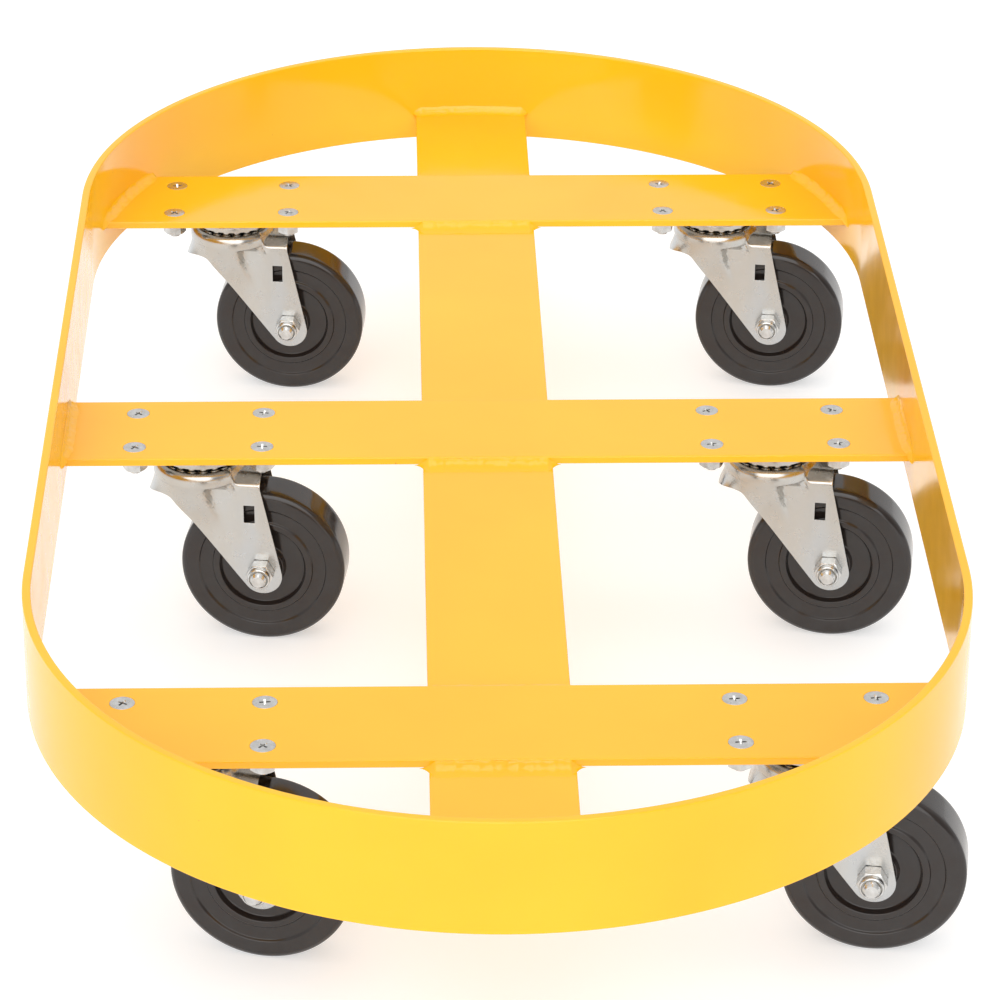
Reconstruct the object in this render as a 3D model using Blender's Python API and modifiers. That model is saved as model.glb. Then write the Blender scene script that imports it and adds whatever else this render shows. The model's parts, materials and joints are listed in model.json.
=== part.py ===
"""Tandem drum dolly: a racetrack steel rim, a centre bar and three cross bars on six swivel casters.

Metres, +Z up. X is the width, Y the length, and the floor is the plane Z = 0 under the dolly's middle.
The frame is flat bar welded together. Each caster is bolted under a cross bar by four flat-head screws,
turns about a riveted kingpin and trails its wheel behind it on a bolt, a sleeve and a lock nut.
"""
import math

import bmesh
import bpy
from mathutils import Matrix

# Frame of flat bar
RIM_WIDTH = 0.508
RIM_LENGTH = 1.016
RIM_HEIGHT = 0.065
STEEL = 0.00476
BAR_WIDTH = 0.0762
BAR_TOP_ABOVE_RIM_EDGE = 0.023
END_BAR_Y = 0.3417
GAP = 0.0003

# Casters: their places, sizes and the way each one trails at rest, in degrees from +X
MOUNT_HEIGHT = 0.1278
END_CASTER_X = 0.1614
MIDDLE_CASTER_X = 0.1702
TRAIL_ANGLE = {
    "front_left": -12.0,
    "front_right": -9.0,
    "middle_left": -7.5,
    "middle_right": -9.0,
    "rear_left": -5.5,
    "rear_right": -8.5,
}
SCREW_PITCH_X = 0.075
SCREW_PITCH_Y = 0.04445
PLATE_LENGTH = 0.092
PLATE_WIDTH = 0.060
PLATE_CORNER = 0.007
SHEET = 0.0027
CUP_RADIUS = 0.0245
CUP_DEPTH = 0.0087
BALL_RING_OUTER = 0.0228
BALL_RING_INNER = 0.0172
BALL_RING_HEIGHT = 0.0024
CROWN_RADIUS = 0.0275
LOWER_RACE_RADIUS = 0.0146
LOWER_RACE_HEIGHT = 0.0030
KINGPIN_RADIUS = 0.0062
KINGPIN_HEAD_RADIUS = 0.0100
KINGPIN_HEAD_HEIGHT = 0.0034

# Wheel, axle and fork
WHEEL_RADIUS = 0.0493
WHEEL_WIDTH = 0.027
AXLE_LEAD = 0.0381
FORK_INSIDE = 0.0304
FORK_FOOT_RADIUS = 0.0123
FORK_FOOT_DROP = 0.0030
LEG_SLOT_WIDTH = 0.0066
LEG_SLOT_HEIGHT = 0.0115
LEG_SLOT_AHEAD_OF_AXLE = 0.0066
LEG_SLOT_ABOVE_AXLE = 0.0377
SLEEVE_RADIUS = 0.0080
BOLT_RADIUS = 0.00475
BOLT_HEX_RADIUS = 0.00825
BOLT_HEAD_HEIGHT = 0.0060
AXLE_NUT_HEIGHT = 0.0115
THREAD_BEYOND_NUT = 0.0030

# Mounting screws
SCREW_RADIUS = 0.0040
SCREW_HEX_RADIUS = 0.0073
SCREW_HEAD_RADIUS = 0.0067
SCREW_HEAD_HEIGHT = 0.0031
SCREW_NUT_HEIGHT = 0.0060
THREAD_BEYOND_SCREW_NUT = 0.0024
HEAD_RECESS = 0.0001
DRILL_CLEARANCE = 0.0004

# Facets around round shapes
RIM_ARC_STEPS = 36
BAR_ARC_STEPS = 6
WHEEL_STEPS = 24
RING_STEPS = 16
ROD_STEPS = 12
SCREW_STEPS = 8
WELD_DISTANCE = 0.00001

# Heights that follow from the sizes above
BAR_BOTTOM = MOUNT_HEIGHT
BAR_TOP = BAR_BOTTOM + STEEL
RIM_BOTTOM = BAR_TOP - BAR_TOP_ABOVE_RIM_EDGE
CENTRE_BAR_TOP = BAR_BOTTOM - GAP
PLATE_TOP = BAR_BOTTOM - GAP
PLATE_BOTTOM = PLATE_TOP - SHEET
CUP_BOTTOM = PLATE_TOP - CUP_DEPTH
CUP_FLOOR = CUP_BOTTOM + SHEET
BALL_RING_TOP = CUP_BOTTOM - GAP
CROWN_TOP = BALL_RING_TOP - BALL_RING_HEIGHT - GAP
CROWN_BOTTOM = CROWN_TOP - SHEET
LOWER_RACE_TOP = CROWN_BOTTOM - GAP
LOWER_RACE_BOTTOM = LOWER_RACE_TOP - LOWER_RACE_HEIGHT
FORK_OUTSIDE = FORK_INSIDE + 2 * SHEET
FOOT_HEIGHT = WHEEL_RADIUS - FORK_FOOT_DROP

# Colour, roughness and metallic value of each finish
FINISHES = {
    "yellow_coat": ((0.95, 0.52, 0.03), 0.30, 0.0),
    "zinc_plate": ((0.72, 0.72, 0.70), 0.28, 1.0),
    "bright_steel": ((0.80, 0.80, 0.82), 0.15, 1.0),
    "hard_rubber": ((0.035, 0.028, 0.027), 0.30, 0.0),
}


def clear_scene():
    for obj in list(bpy.data.objects):
        bpy.data.objects.remove(obj, do_unlink=True)


def new_collection(name):
    collection = bpy.data.collections.new(name)
    bpy.context.scene.collection.children.link(collection)
    return collection


def finish_material(name):
    colour, roughness, metallic = FINISHES[name]
    material = bpy.data.materials.get(name) or bpy.data.materials.new(name)
    material.use_nodes = True
    shader = material.node_tree.nodes["Principled BSDF"]
    shader.inputs["Base Color"].default_value = (*colour, 1.0)
    shader.inputs["Roughness"].default_value = roughness
    shader.inputs["Metallic"].default_value = metallic
    return material


def add_object(name, data, collection):
    obj = bpy.data.objects.new(name, data)
    collection.objects.link(obj)
    return obj


def add_part(name, mesh, finish, parent=None):
    """A finished sub-part under its parent empty; copies share one mesh."""
    obj = add_object(name, mesh, parts)
    obj.parent = parent
    if not mesh.materials:
        mesh.materials.append(finish_material(finish))
    return obj


def add_empty(name, location, parent=None):
    obj = add_object(name, None, parts)
    obj.parent = parent
    obj.location = location
    return obj


def add_cutter(name, mesh, location=(0, 0, 0)):
    obj = add_object(name, mesh, cutters)
    obj.location = location
    obj.hide_render = True
    obj.display_type = "WIRE"
    return obj


def cut(obj, cutter):
    combine(obj, cutter, "DIFFERENCE")


def combine(obj, other, operation):
    modifier = obj.modifiers.new(operation.lower(), "BOOLEAN")
    modifier.operation = operation
    modifier.solver = "EXACT"
    modifier.object = other


def baked(obj):
    """The object's evaluated surface as one welded mesh; the object is removed."""
    graph = bpy.context.evaluated_depsgraph_get()
    mesh = bpy.data.meshes.new_from_object(obj.evaluated_get(graph), depsgraph=graph)
    mesh.name = obj.name
    work = bmesh.new()
    work.from_mesh(mesh)
    bmesh.ops.remove_doubles(work, verts=work.verts, dist=WELD_DISTANCE)
    bmesh.ops.recalc_face_normals(work, faces=work.faces)
    work.to_mesh(mesh)
    work.free()
    bpy.data.objects.remove(obj, do_unlink=True)
    return mesh


def shade_round(mesh):
    mesh.shade_smooth()
    mesh.set_sharp_from_angle(angle=math.radians(35))
    return mesh


def arc(centre, radius, start, stop, steps):
    """Points on an arc, both ends included, with its angles in degrees."""
    angles = [math.radians(start + (stop - start) * i / steps) for i in range(steps + 1)]
    return [(centre[0] + radius * math.cos(a), centre[1] + radius * math.sin(a)) for a in angles]


def circle(radius, steps):
    return arc((0, 0), radius, 0, 360, steps)[:-1]


def slab(name, outlines, thickness):
    """A flat plate of one closed outline, less the outlines inside it, centred on z = 0."""
    curve = bpy.data.curves.new(name, "CURVE")
    curve.dimensions = "2D"
    curve.fill_mode = "BOTH"
    curve.extrude = thickness / 2
    for outline in outlines:
        spline = curve.splines.new("POLY")
        spline.points.add(len(outline) - 1)
        spline.use_cyclic_u = True
        for point, (x, y) in zip(spline.points, outline):
            point.co = (x, y, 0, 1)
    return baked(add_object(name, curve, parts))


def turned(name, profile, steps, closed):
    """A solid turned about Z from (radius, height) points, its outer side listed from top to bottom."""
    count = len(profile)
    edges = [(i, i + 1) for i in range(count - 1)]
    if closed:
        edges.append((count - 1, 0))
    mesh = bpy.data.meshes.new(name)
    mesh.from_pydata([(radius, 0, height) for radius, height in profile], edges, [])
    obj = add_object(name, mesh, parts)
    screw = obj.modifiers.new("turn", "SCREW")
    screw.axis = "Z"
    screw.steps = steps
    screw.render_steps = steps
    screw.use_merge_vertices = True
    screw.merge_threshold = WELD_DISTANCE
    return shade_round(baked(obj))


def box(name, size, centre):
    mesh = bpy.data.meshes.new(name)
    work = bmesh.new()
    bmesh.ops.create_cube(work, size=1.0, matrix=Matrix.Translation(centre) @ Matrix.Diagonal((*size, 1.0)))
    work.to_mesh(mesh)
    work.free()
    return mesh


def placed(mesh, matrix):
    """The same mesh moved by a matrix, for shapes that are drawn flat and then stood up."""
    mesh.transform(matrix)
    return mesh


def racetrack(inset, steps):
    """The rim's outline, two half circles joined by straight sides, moved in by the inset."""
    centre_y = (RIM_LENGTH - RIM_WIDTH) / 2
    radius = RIM_WIDTH / 2 - inset
    return arc((0, centre_y), radius, 0, 180, steps) + arc((0, -centre_y), radius, 180, 360, steps)


def reach_in_rim(offset, across):
    """How far a bar reaches inside the rim, measured along it, at a distance from the rim's long axis."""
    centre_y = (RIM_LENGTH - RIM_WIDTH) / 2
    radius = RIM_WIDTH / 2 - STEEL - GAP
    if across:
        beyond = max(abs(offset) - centre_y, 0)
        return math.sqrt(radius ** 2 - beyond ** 2)
    return centre_y + math.sqrt(radius ** 2 - offset ** 2)


def add_rim():
    mesh = slab("rim", [racetrack(0, RIM_ARC_STEPS), racetrack(STEEL, RIM_ARC_STEPS)], RIM_HEIGHT)
    rim = add_part("rim", shade_round(mesh), "yellow_coat")
    rim.location.z = RIM_BOTTOM + RIM_HEIGHT / 2


def bar_steps():
    """Places across a bar's width, from one edge to the other."""
    return [BAR_WIDTH * (i / BAR_ARC_STEPS - 0.5) for i in range(BAR_ARC_STEPS + 1)]


def add_centre_bar():
    ends = [(x, reach_in_rim(x, across=False)) for x in bar_steps()]
    outline = ends + [(-x, -y) for x, y in ends]
    bar = add_part("centre_bar", slab("centre_bar", [outline], STEEL), "yellow_coat")
    bar.location.z = CENTRE_BAR_TOP - STEEL / 2


def add_cross_bar(name, bar_y, screw_places, drill):
    """A bar across the rim, its ends following the rim's inside, countersunk for its casters' screws."""
    end = [(reach_in_rim(bar_y + y, across=True), bar_y + y) for y in bar_steps()]
    outline = end + [(-x, y) for x, y in reversed(end)]
    bar = add_part(name, slab(name, [outline], STEEL), "yellow_coat")
    bar.location.z = BAR_BOTTOM + STEEL / 2
    for number, (x, y) in enumerate(screw_places, start=1):
        cut(bar, add_cutter(f"{name}_drill_{number}", drill, (x, y, 0)))


def screw_offsets():
    return [(sx * SCREW_PITCH_X / 2, sy * SCREW_PITCH_Y / 2) for sx in (-1, 1) for sy in (-1, 1)]


def drill_mesh():
    """The countersunk hole of one screw, standing a little above and below the bar."""
    head = SCREW_HEAD_RADIUS + DRILL_CLEARANCE
    shank = SCREW_RADIUS + DRILL_CLEARANCE
    slope = (SCREW_HEAD_RADIUS - SCREW_RADIUS) / SCREW_HEAD_HEIGHT
    above = 0.001
    profile = [
        (0, BAR_TOP + above),
        (head + slope * (above + HEAD_RECESS), BAR_TOP + above),
        (shank, BAR_TOP - HEAD_RECESS - SCREW_HEAD_HEIGHT),
        (shank, BAR_BOTTOM - above),
        (0, BAR_BOTTOM - above),
    ]
    return turned("drill", profile, SCREW_STEPS, closed=False)


def mounting_screw_mesh():
    """A flat-head screw, head up, down to the end of its thread."""
    head_top = BAR_TOP - HEAD_RECESS
    end = PLATE_BOTTOM - SCREW_NUT_HEIGHT - THREAD_BEYOND_SCREW_NUT
    profile = [
        (0, head_top),
        (SCREW_HEAD_RADIUS, head_top),
        (SCREW_RADIUS, head_top - SCREW_HEAD_HEIGHT),
        (SCREW_RADIUS, end),
        (0, end),
    ]
    return turned("mounting_screw", profile, SCREW_STEPS, closed=False)


def top_plate_mesh():
    """The caster's top plate with its pressed ball cup, held by its four screws and their nuts."""
    x = PLATE_LENGTH / 2 - PLATE_CORNER
    y = PLATE_WIDTH / 2 - PLATE_CORNER
    corners = [((x, y), 0), ((-x, y), 90), ((-x, -y), 180), ((x, -y), 270)]
    outline = [point for centre, start in corners for point in arc(centre, PLATE_CORNER, start, start + 90, 3)]
    opening = circle(CUP_RADIUS - SHEET / 2, RING_STEPS)
    mesh = placed(slab("top_plate", [outline, opening], SHEET), Matrix.Translation((0, 0, PLATE_TOP - SHEET / 2)))
    plate = add_object("top_plate", mesh, parts)
    lip = PLATE_TOP - GAP
    cup = turned("ball_cup", [
        (CUP_RADIUS + SHEET / 4, lip),
        (CUP_RADIUS, PLATE_BOTTOM - SHEET / 2),
        (CUP_RADIUS - SHEET / 2, CUP_BOTTOM),
        (KINGPIN_RADIUS + GAP, CUP_BOTTOM),
        (KINGPIN_RADIUS + GAP, CUP_FLOOR),
        (CUP_RADIUS - 1.5 * SHEET, CUP_FLOOR),
        (CUP_RADIUS - 0.75 * SHEET, lip),
    ], RING_STEPS, closed=True)
    combine(plate, add_cutter("ball_cup", cup), "UNION")
    nut = slab("screw_nut", [circle(SCREW_HEX_RADIUS, 6)], SCREW_NUT_HEIGHT + GAP)
    screw = mounting_screw_mesh()
    for number, (sx, sy) in enumerate(screw_offsets(), start=1):
        nut_z = PLATE_BOTTOM + GAP / 2 - SCREW_NUT_HEIGHT / 2
        combine(plate, add_cutter(f"screw_{number}", screw, (sx, sy, 0)), "UNION")
        combine(plate, add_cutter(f"screw_nut_{number}", nut, (sx, sy, nut_z)), "UNION")
    return baked(plate)


def ball_ring_mesh():
    """The ring of bearing balls between the top plate's cup and the fork's crown."""
    middle = BALL_RING_TOP - BALL_RING_HEIGHT / 2
    bottom = BALL_RING_TOP - BALL_RING_HEIGHT
    centre = (BALL_RING_OUTER + BALL_RING_INNER) / 2
    profile = [
        (centre, BALL_RING_TOP),
        (BALL_RING_OUTER, middle),
        (centre, bottom),
        (BALL_RING_INNER, middle),
    ]
    return turned("ball_ring", profile, RING_STEPS, closed=True)


def lower_race_mesh():
    """The cup under the crown that holds the lower row of balls against it."""
    profile = [
        (LOWER_RACE_RADIUS, LOWER_RACE_TOP),
        (LOWER_RACE_RADIUS, LOWER_RACE_BOTTOM),
        (KINGPIN_RADIUS + GAP, LOWER_RACE_BOTTOM),
        (KINGPIN_RADIUS + GAP, LOWER_RACE_TOP),
    ]
    return turned("lower_race", profile, RING_STEPS, closed=True)


def kingpin_mesh():
    """The rivet on the swivel axis, headed over inside the ball cup and below the lower race."""
    upper = CUP_FLOOR + GAP
    lower = LOWER_RACE_BOTTOM - GAP
    profile = [
        (0, upper + KINGPIN_HEAD_HEIGHT),
        (KINGPIN_HEAD_RADIUS, upper + KINGPIN_HEAD_HEIGHT),
        (KINGPIN_HEAD_RADIUS, upper),
        (KINGPIN_RADIUS, upper),
        (KINGPIN_RADIUS, lower),
        (KINGPIN_HEAD_RADIUS, lower),
        (KINGPIN_HEAD_RADIUS, lower - KINGPIN_HEAD_HEIGHT),
        (0, lower - KINGPIN_HEAD_HEIGHT),
    ]
    return turned("kingpin", profile, ROD_STEPS, closed=False)


def tangent_angle(point, side):
    """The angle on the fork's foot, in degrees, where a straight edge from a point touches it."""
    dx = point[0] - AXLE_LEAD
    dz = point[1] - FOOT_HEIGHT
    to_point = math.degrees(math.atan2(dz, dx))
    opening = math.degrees(math.acos(FORK_FOOT_RADIUS / math.hypot(dx, dz)))
    return to_point + side * opening


def fork_outline():
    """The fork seen from the side: shoulders under the crown, edges running down to a round foot."""
    leading = (-0.0145, 0.0957)
    trailing = (0.0382, 0.1040)
    foot = arc((AXLE_LEAD, FOOT_HEIGHT), FORK_FOOT_RADIUS,
               tangent_angle(leading, 1), tangent_angle(trailing, -1) + 360, 10)
    return [
        (0.0330, CROWN_TOP - GAP),
        (-0.0240, CROWN_TOP - GAP),
        (-0.0305, CROWN_TOP - 0.0020),
        (-0.0320, CROWN_TOP - 0.0050),
        (-0.0312, CROWN_TOP - 0.0110),
        (-0.0228, CROWN_TOP - 0.0156),
        leading,
        *foot,
        trailing,
        (0.0382, CROWN_TOP - 0.0055),
    ]


def fork_mesh():
    """The pressed fork: a round crown, two legs, a slot high in each leg and the axle holes."""
    stand_up = Matrix.Rotation(math.radians(90), 4, "X")
    body = placed(slab("fork", [fork_outline()], FORK_OUTSIDE), stand_up)
    fork = add_object("fork", body, parts)
    long = 0.2
    channel = box("channel", (long, FORK_INSIDE, long), (0, 0, CROWN_BOTTOM + GAP - long / 2))
    cut(fork, add_cutter("fork_channel", channel))
    crown = turned("crown", [
        (0, CROWN_TOP),
        (CROWN_RADIUS - 0.0012, CROWN_TOP),
        (CROWN_RADIUS, CROWN_TOP - 0.0012),
        (CROWN_RADIUS, CROWN_BOTTOM),
        (0, CROWN_BOTTOM),
    ], RING_STEPS, closed=False)
    combine(fork, add_cutter("fork_crown", crown), "UNION")
    slot_centre = (AXLE_LEAD - LEG_SLOT_AHEAD_OF_AXLE, 0, WHEEL_RADIUS + LEG_SLOT_ABOVE_AXLE)
    slot = box("slot", (LEG_SLOT_WIDTH, long, LEG_SLOT_HEIGHT), slot_centre)
    cut(fork, add_cutter("fork_slot", slot))
    axle_hole = placed(slab("axle_hole", [circle(BOLT_RADIUS + GAP, ROD_STEPS)], long), stand_up)
    cut(fork, add_cutter("fork_axle_hole", axle_hole, (AXLE_LEAD, 0, WHEEL_RADIUS)))
    pin_hole = slab("pin_hole", [circle(KINGPIN_RADIUS + GAP, ROD_STEPS)], 4 * SHEET)
    cut(fork, add_cutter("fork_pin_hole", pin_hole, (0, 0, CROWN_BOTTOM)))
    return baked(fork)


def along_axle(mesh, turn=0.0):
    """A mesh drawn about Z laid along Y, after a turn about its own axis."""
    return placed(mesh, Matrix.Rotation(math.radians(90), 4, "X") @ Matrix.Rotation(turn, 4, "Z"))


def wheel_mesh():
    """The wheel about its axle, turned by half a facet so that a flat meets the floor."""
    half = WHEEL_WIDTH / 2
    tread = WHEEL_RADIUS / math.cos(math.pi / WHEEL_STEPS)
    bore = SLEEVE_RADIUS + GAP
    hub = 0.0125
    web = 0.0255
    recess = half - 0.0035
    profile = [
        (web, half),
        (tread, half),
        (tread, -half),
        (web, -half),
        (web, -recess),
        (hub, -recess),
        (hub, -half),
        (bore, -half),
        (bore, half),
        (hub, half),
        (hub, recess),
        (web, recess),
    ]
    return along_axle(turned("wheel", profile, WHEEL_STEPS, closed=True), math.pi / WHEEL_STEPS)


def sleeve_mesh():
    half = FORK_INSIDE / 2 - GAP
    inner = BOLT_RADIUS + GAP
    profile = [(SLEEVE_RADIUS, half), (SLEEVE_RADIUS, -half), (inner, -half), (inner, half)]
    return along_axle(turned("axle_sleeve", profile, ROD_STEPS, closed=True))


def axle_bolt_mesh():
    """The axle bolt: its hexagon head on the far side of the fork, its thread end on the near side."""
    head_start = FORK_OUTSIDE / 2 + GAP
    end = head_start + AXLE_NUT_HEIGHT + THREAD_BEYOND_NUT
    length = head_start + end
    shank = placed(slab("bolt_shank", [circle(BOLT_RADIUS, ROD_STEPS)], length + BOLT_HEAD_HEIGHT / 2),
                   Matrix.Translation((0, 0, (end - head_start - BOLT_HEAD_HEIGHT / 2) / 2)))
    bolt = add_object("axle_bolt", shank, parts)
    head = slab("bolt_head", [circle(BOLT_HEX_RADIUS, 6)], BOLT_HEAD_HEIGHT)
    combine(bolt, add_cutter("bolt_head", head, (0, 0, -head_start - BOLT_HEAD_HEIGHT / 2)), "UNION")
    return along_axle(baked(bolt))


def axle_nut_mesh():
    """The lock nut on the near side of the fork."""
    mesh = slab("axle_nut", [circle(BOLT_HEX_RADIUS, 6), circle(BOLT_RADIUS + GAP, ROD_STEPS)], AXLE_NUT_HEIGHT)
    middle = FORK_OUTSIDE / 2 + GAP + AXLE_NUT_HEIGHT / 2
    return along_axle(placed(mesh, Matrix.Translation((0, 0, middle))))


def caster_places():
    """Each caster's name with its kingpin's place."""
    rows = {"front": -END_BAR_Y, "middle": 0.0, "rear": END_BAR_Y}
    reach = {"front": END_CASTER_X, "middle": MIDDLE_CASTER_X, "rear": END_CASTER_X}
    sides = {"left": -1, "right": 1}
    return {f"{row}_{side}": (sign * reach[row], rows[row]) for row in rows for side, sign in sides.items()}


def add_caster(name, place, fixed, swivelling, on_axle):
    """One caster: the pieces bolted to the bar, those that swivel, and those on the axle."""
    kingpin_axis = add_empty(f"{name}_kingpin_axis", (*place, 0))
    swivel_axis = add_empty(f"{name}_swivel_axis", (0, 0, 0), kingpin_axis)
    swivel_axis.rotation_euler.z = math.radians(TRAIL_ANGLE[name])
    axle_axis = add_empty(f"{name}_axle_axis", (AXLE_LEAD, 0, WHEEL_RADIUS), swivel_axis)
    for group, parent in ((fixed, kingpin_axis), (swivelling, swivel_axis), (on_axle, axle_axis)):
        for piece, (mesh, finish) in group.items():
            add_part(f"{name}_{piece}", mesh, finish, parent)


def add_casters():
    fixed = {
        "top_plate": (top_plate_mesh(), "zinc_plate"),
        "kingpin": (kingpin_mesh(), "zinc_plate"),
        "lower_race": (lower_race_mesh(), "zinc_plate"),
    }
    swivelling = {
        "fork": (fork_mesh(), "zinc_plate"),
        "ball_ring": (ball_ring_mesh(), "bright_steel"),
    }
    on_axle = {
        "wheel": (wheel_mesh(), "hard_rubber"),
        "axle_sleeve": (sleeve_mesh(), "bright_steel"),
        "axle_bolt": (axle_bolt_mesh(), "bright_steel"),
        "axle_nut": (axle_nut_mesh(), "bright_steel"),
    }
    for name, place in caster_places().items():
        add_caster(name, place, fixed, swivelling, on_axle)


def add_frame():
    add_rim()
    add_centre_bar()
    drill = drill_mesh()
    places = caster_places()
    for row, bar_y in (("front", -END_BAR_Y), ("middle", 0.0), ("rear", END_BAR_Y)):
        kingpins = [places[f"{row}_left"], places[f"{row}_right"]]
        screws = [(x + sx, y + sy) for x, y in kingpins for sx, sy in screw_offsets()]
        add_cross_bar(f"cross_bar_{row}", bar_y, screws, drill)


clear_scene()
parts = new_collection("drum_dolly")
cutters = new_collection("cutters")
add_frame()
add_casters()
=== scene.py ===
"""The looks of a tandem drum dolly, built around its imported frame.

Metres, +Z up. Each piece is made once, in its own simple frame, and placed where the CAD model has it:
the rim and bars from their boxes, and every caster from its swivel and axle joints. A caster's own frame
has its kingpin on Z and its wheel trailing towards +X.
"""

import json
import math
import random

import bmesh
import bpy
from mathutils import Matrix, Vector, noise


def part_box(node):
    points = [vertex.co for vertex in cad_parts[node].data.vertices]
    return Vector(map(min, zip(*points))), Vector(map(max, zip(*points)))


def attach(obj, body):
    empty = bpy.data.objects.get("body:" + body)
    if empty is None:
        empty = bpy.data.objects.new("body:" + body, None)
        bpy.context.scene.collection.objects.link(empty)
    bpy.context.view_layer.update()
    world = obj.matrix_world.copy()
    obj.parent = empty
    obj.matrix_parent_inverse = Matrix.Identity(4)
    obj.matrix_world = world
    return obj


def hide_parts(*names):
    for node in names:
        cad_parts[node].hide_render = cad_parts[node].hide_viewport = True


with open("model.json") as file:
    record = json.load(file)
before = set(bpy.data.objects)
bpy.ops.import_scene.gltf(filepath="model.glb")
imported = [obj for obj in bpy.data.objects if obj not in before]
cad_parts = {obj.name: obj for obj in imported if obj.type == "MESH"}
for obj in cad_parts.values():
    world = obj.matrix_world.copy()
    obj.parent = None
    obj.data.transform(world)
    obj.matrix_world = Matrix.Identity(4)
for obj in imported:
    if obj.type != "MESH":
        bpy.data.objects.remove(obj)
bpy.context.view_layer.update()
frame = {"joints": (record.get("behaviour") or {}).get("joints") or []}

MM = 0.001
ROWS = ("front", "middle", "rear")
SIDES = ("left", "right")
CASTERS = [f"{row}_{side}" for row in ROWS for side in SIDES]

# The frame's sizes, from the CAD boxes
RIM_LOW, RIM_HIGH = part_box("rim")
RIM_RADIUS = (RIM_HIGH.x - RIM_LOW.x) / 2
RIM_ARC_Y = RIM_HIGH.y - RIM_RADIUS
BAR_LOW, BAR_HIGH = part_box("cross_bar_middle")
STEEL = BAR_HIGH.z - BAR_LOW.z
BAR_WIDTH = BAR_HIGH.y - BAR_LOW.y
CENTRE_LOW, CENTRE_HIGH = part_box("centre_bar")
INNER_RADIUS = RIM_RADIUS - STEEL
EDGE_ROUND = 0.9 * MM

# One caster's heights and sizes, from the CAD boxes and joints
JOINTS = {joint["name"]: joint for joint in frame["joints"]}
SWIVEL = JOINTS["middle_left_swivel"]
SPIN = JOINTS["middle_left_spin"]
CROWN_TOP = SWIVEL["pos_m"][2]
AXLE_Z = SPIN["pos_m"][2]
AXLE_LEAD = math.hypot(SPIN["pos_m"][0] - SWIVEL["pos_m"][0], SPIN["pos_m"][1] - SWIVEL["pos_m"][1])
PLATE_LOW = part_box("middle_left_top_plate")[0]
PIN_LOW, PIN_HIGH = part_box("middle_left_kingpin")
RACE_LOW, RACE_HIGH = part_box("middle_left_lower_race")
RACE_RADIUS = (RACE_HIGH.x - RACE_LOW.x) / 2

# Its pieces' own sizes; a HEAD, HOLE, SEAT or FLATS is a head's or hole's radius, where a piece bears on the
# fork, and a hexagon's width
PIN_RADIUS = 6.2 * MM
PIN_HEAD = 10.0 * MM
PIN_HOLE = PIN_RADIUS + 0.2 * MM
SHEET = 2.7 * MM
PLATE_TOP = BAR_LOW.z - 0.3 * MM
PLATE_BOTTOM = PLATE_TOP - SHEET
PLATE_HALF = Vector((46 * MM, 30 * MM))
PLATE_CORNER = 7 * MM
CUP_BOTTOM = PLATE_TOP - 8.7 * MM
SCREW_PITCH = Vector((75.0 * MM, 44.45 * MM, 0))
SCREW_CORNERS = [(sx * SCREW_PITCH.x / 2, sy * SCREW_PITCH.y / 2) for sx in (-1, 1) for sy in (-1, 1)]
SCREW_RADIUS = 4.0 * MM
SCREW_HEAD = 6.7 * MM
SCREW_NUT_FLATS = 12.7 * MM
FORK_INSIDE = 15.2 * MM
FORK_OUTSIDE = FORK_INSIDE + SHEET
WHEEL_RADIUS = AXLE_Z
WHEEL_HALF = 13.5 * MM
BOLT_RADIUS = 4.75 * MM
BOLT_SEAT = FORK_OUTSIDE + 0.3 * MM
BOLT_FLATS = 14.3 * MM
BALL_RADIUS = 3.15 * MM
BALL_CIRCLE = 19.8 * MM
RACE_DEPTH = 1.65 * MM


# ---------------------------------------------------------------- mesh helpers

def object_from(name, mesh):
    obj = bpy.data.objects.new(name, mesh)
    bpy.context.scene.collection.objects.link(obj)
    return obj


def cleaned(mesh, distance):
    """Merges the mesh's points that are closer than a distance, and turns its faces outwards."""
    work = bmesh.new()
    work.from_mesh(mesh)
    bmesh.ops.remove_doubles(work, verts=work.verts, dist=distance)
    bmesh.ops.recalc_face_normals(work, faces=work.faces)
    work.to_mesh(mesh)
    work.free()
    return mesh


def mesh_of(name, verts, faces):
    mesh = bpy.data.meshes.new(name)
    mesh.from_pydata(verts, [], faces)
    return cleaned(mesh, 1e-7)


def band(first, second, sides):
    """The faces between two rings of points, each ring given by its number."""
    a = first * sides
    b = second * sides
    return [(a + k, a + (k + 1) % sides, b + (k + 1) % sides, b + k) for k in range(sides)]


def cap(ring, sides):
    """The flat face that closes a ring of points."""
    return tuple(ring * sides + k for k in range(sides))


def smooth(mesh, angle=30):
    mesh.shade_smooth()
    mesh.set_sharp_from_angle(angle=math.radians(angle))
    return mesh


def baked(obj):
    """The object's evaluated surface as a welded mesh of its own; the object is removed."""
    graph = bpy.context.evaluated_depsgraph_get()
    mesh = bpy.data.meshes.new_from_object(obj.evaluated_get(graph), depsgraph=graph)
    mesh.name = obj.name
    bpy.data.objects.remove(obj, do_unlink=True)
    return cleaned(mesh, 1e-6)


def combined(mesh, tools, operation):
    """A mesh cut by, joined with or limited to each of the tool meshes."""
    obj = object_from(mesh.name, mesh)
    helpers = []
    for tool in tools:
        helper = object_from("tool", tool)
        modifier = obj.modifiers.new("tool", "BOOLEAN")
        modifier.operation = operation
        modifier.solver = "EXACT"
        modifier.object = helper
        helpers.append(helper)
    bpy.context.view_layer.update()
    result = baked(obj)
    for helper in helpers:
        bpy.data.objects.remove(helper, do_unlink=True)
    return result


def moved(mesh, matrix):
    copy = mesh.copy()
    copy.transform(matrix)
    return copy


def joined(name, meshes):
    """Several closed bodies in one mesh."""
    work = bmesh.new()
    for mesh in meshes:
        work.from_mesh(mesh)
    result = bpy.data.meshes.new(name)
    work.to_mesh(result)
    work.free()
    return result


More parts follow.
